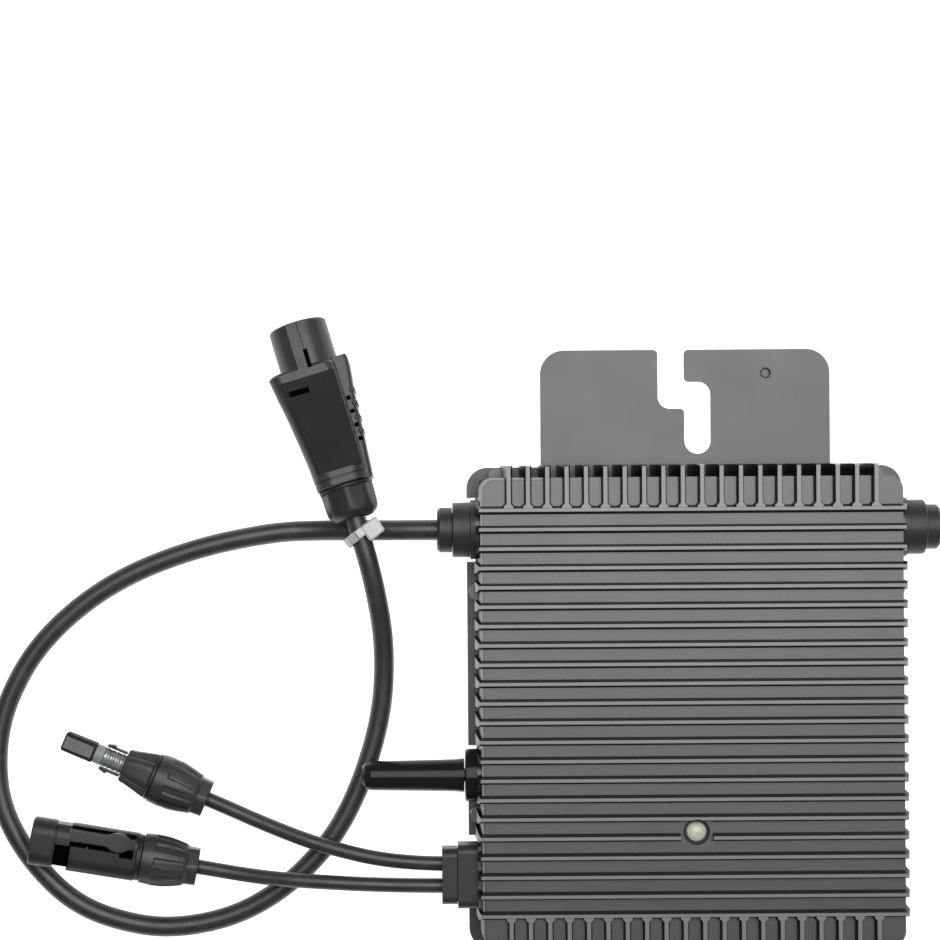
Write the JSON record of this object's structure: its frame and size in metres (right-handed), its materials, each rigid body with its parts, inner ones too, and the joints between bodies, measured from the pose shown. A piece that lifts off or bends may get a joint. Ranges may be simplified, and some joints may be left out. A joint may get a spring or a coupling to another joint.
{
  "type": "plug-in solar inverter",
  "caption": "Flat finned plug-in solar inverter with hanging bracket, side cable glands, stub antenna, mains lead with connector and two panel leads.",
  "frame": {"origin": "centre of the rear cover's back face, on which the inverter lies", "axes": "+X towards the output side, +Y towards the hanging bracket, +Z out of the finned face"},
  "size_m": [0.4563, 0.3048, 0.04],
  "materials": {
    "cast_shell": "satin dark powder coat on die-cast aluminium",
    "cover_plate": "satin black coat",
    "bracket_steel": "brushed stainless steel",
    "screw_steel": "zinc plated",
    "black_plastic": "moulded, slightly glossy",
    "antenna_plastic": "moulded, glossy",
    "cable_jacket": "satin rubber jacket",
    "pv_jacket": "satin jacket",
    "seal_rubber": "matte",
    "grey_rubber": "matte",
    "lens": "milky translucent",
    "tie_nylon": "translucent nylon",
    "copper_contact": "plated",
    "board": "solder mask",
    "can": "sleeved can",
    "film": "epoxy box",
    "ferrite": "sintered ferrite",
    "winding": "enamelled copper",
    "package": "moulded epoxy",
    "pad": "silicone pad",
    "relay_blue": "moulded",
    "terminal": "moulded",
    "wire": "insulated core"
  },
  "bodies": {
    "root": {"heatsink_housing": "cast_shell", "rear_cover": "cover_plate", "cover_seal": "seal_rubber", "cover_screws": "screw_steel", "hanging_bracket": "bracket_steel", "bracket_screws": "screw_steel", "earth_clinch_nut": "screw_steel", "led_lens": "lens", "led_lens_seal": "seal_rubber", "status_led": "lens", "main_board": "board", "board_screws": "screw_steel", "input_capacitors": "can", "film_capacitors": "film", "transformer_core": "ferrite", "transformer_winding": "winding", "choke_core": "ferrite", "choke_winding": "winding", "power_transistors": "package", "thermal_pads": "pad", "relays": "relay_blue", "controller_chip": "package", "wifi_module": "board", "antenna_lead": "seal_rubber", "ac_terminal_blocks": "terminal", "dc_terminal_block": "terminal", "inner_wires": "wire", "ac_in_gland_body": "black_plastic", "ac_in_gland_seal": "seal_rubber", "ac_in_gland_nut": "black_plastic", "ac_out_gland_body": "black_plastic", "ac_out_gland_seal": "seal_rubber", "ac_out_gland_nut": "black_plastic", "pv_gland_body": "black_plastic", "pv_gland_cap": "black_plastic", "pv_gland_seal": "seal_rubber", "antenna_socket": "black_plastic", "antenna_socket_nut": "screw_steel", "ac_cable": "cable_jacket", "pv_plus_cable": "pv_jacket", "pv_minus_cable": "pv_jacket", "ac_connector_shell": "black_plastic", "ac_connector_insert": "black_plastic", "ac_connector_contacts": "copper_contact", "ac_connector_seal": "seal_rubber", "cable_tie": "tie_nylon", "pv_plus_housing": "black_plastic", "pv_plus_contact": "copper_contact", "pv_plus_seal": "grey_rubber", "pv_minus_housing": "black_plastic", "pv_minus_contact": "copper_contact", "pv_minus_seal": "grey_rubber"},
    "antenna_core": {"antenna_element": "copper_contact"},
    "antenna": {"antenna_sleeve": "antenna_plastic"},
    "pv_plus_nut": {"pv_plus_nut": "black_plastic"},
    "pv_minus_nut": {"pv_minus_nut": "black_plastic"},
    "ac_connector_nut": {"ac_connector_nut": "black_plastic"},
    "latch_upper": {"pv_plus_latch_upper": "black_plastic"},
    "latch_lower": {"pv_plus_latch_lower": "black_plastic"}
  },
  "joints": [
    {"name": "antenna_advance", "type": "slide", "parent": "root", "child": "antenna_core", "axis": [-1, 0, 0], "range_m": [0, 0.0022]},
    {"name": "antenna_turn", "type": "hinge", "parent": "antenna_core", "child": "antenna", "pos_m": [-0.107, -0.0307, 0.019], "axis": [-1, 0, 0], "range_deg": [0, 1080]},
    {"name": "pv_plus_nut_turn", "type": "hinge", "parent": "root", "child": "pv_plus_nut", "pos_m": [-0.2312, -0.0416, 0.01175], "axis": [-0.9194, 0.3917, 0.0364], "range_deg": [0, 540]},
    {"name": "pv_minus_nut_turn", "type": "hinge", "parent": "root", "child": "pv_minus_nut", "pos_m": [-0.236, -0.0742, 0.01225], "axis": [-0.9807, 0.1784, 0.0804], "range_deg": [0, 540]},
    {"name": "ac_connector_nut_turn", "type": "hinge", "parent": "root", "child": "ac_connector_nut", "pos_m": [-0.1578, 0.0914, 0.0224], "axis": [-0.2872, 0.9545, -0.0806], "range_deg": [0, 540]},
    {"name": "latch_upper_press", "type": "hinge", "parent": "root", "child": "latch_upper", "pos_m": [-0.26834, -0.01915, 0.01332], "axis": [0.0335, -0.0143, 0.9993], "range_deg": [0, 3], "stiffness_Nm_per_rad": 0.2},
    {"name": "latch_lower_press", "type": "hinge", "parent": "root", "child": "latch_lower", "pos_m": [-0.27312, -0.03037, 0.01332], "axis": [-0.0335, 0.0143, -0.9993], "range_deg": [0, 3], "stiffness_Nm_per_rad": 0.2}
  ],
  "couplings": [
    {"joint": "antenna_advance", "follows": "antenna_turn", "m_per_rad": 0.00011141}
  ]
}
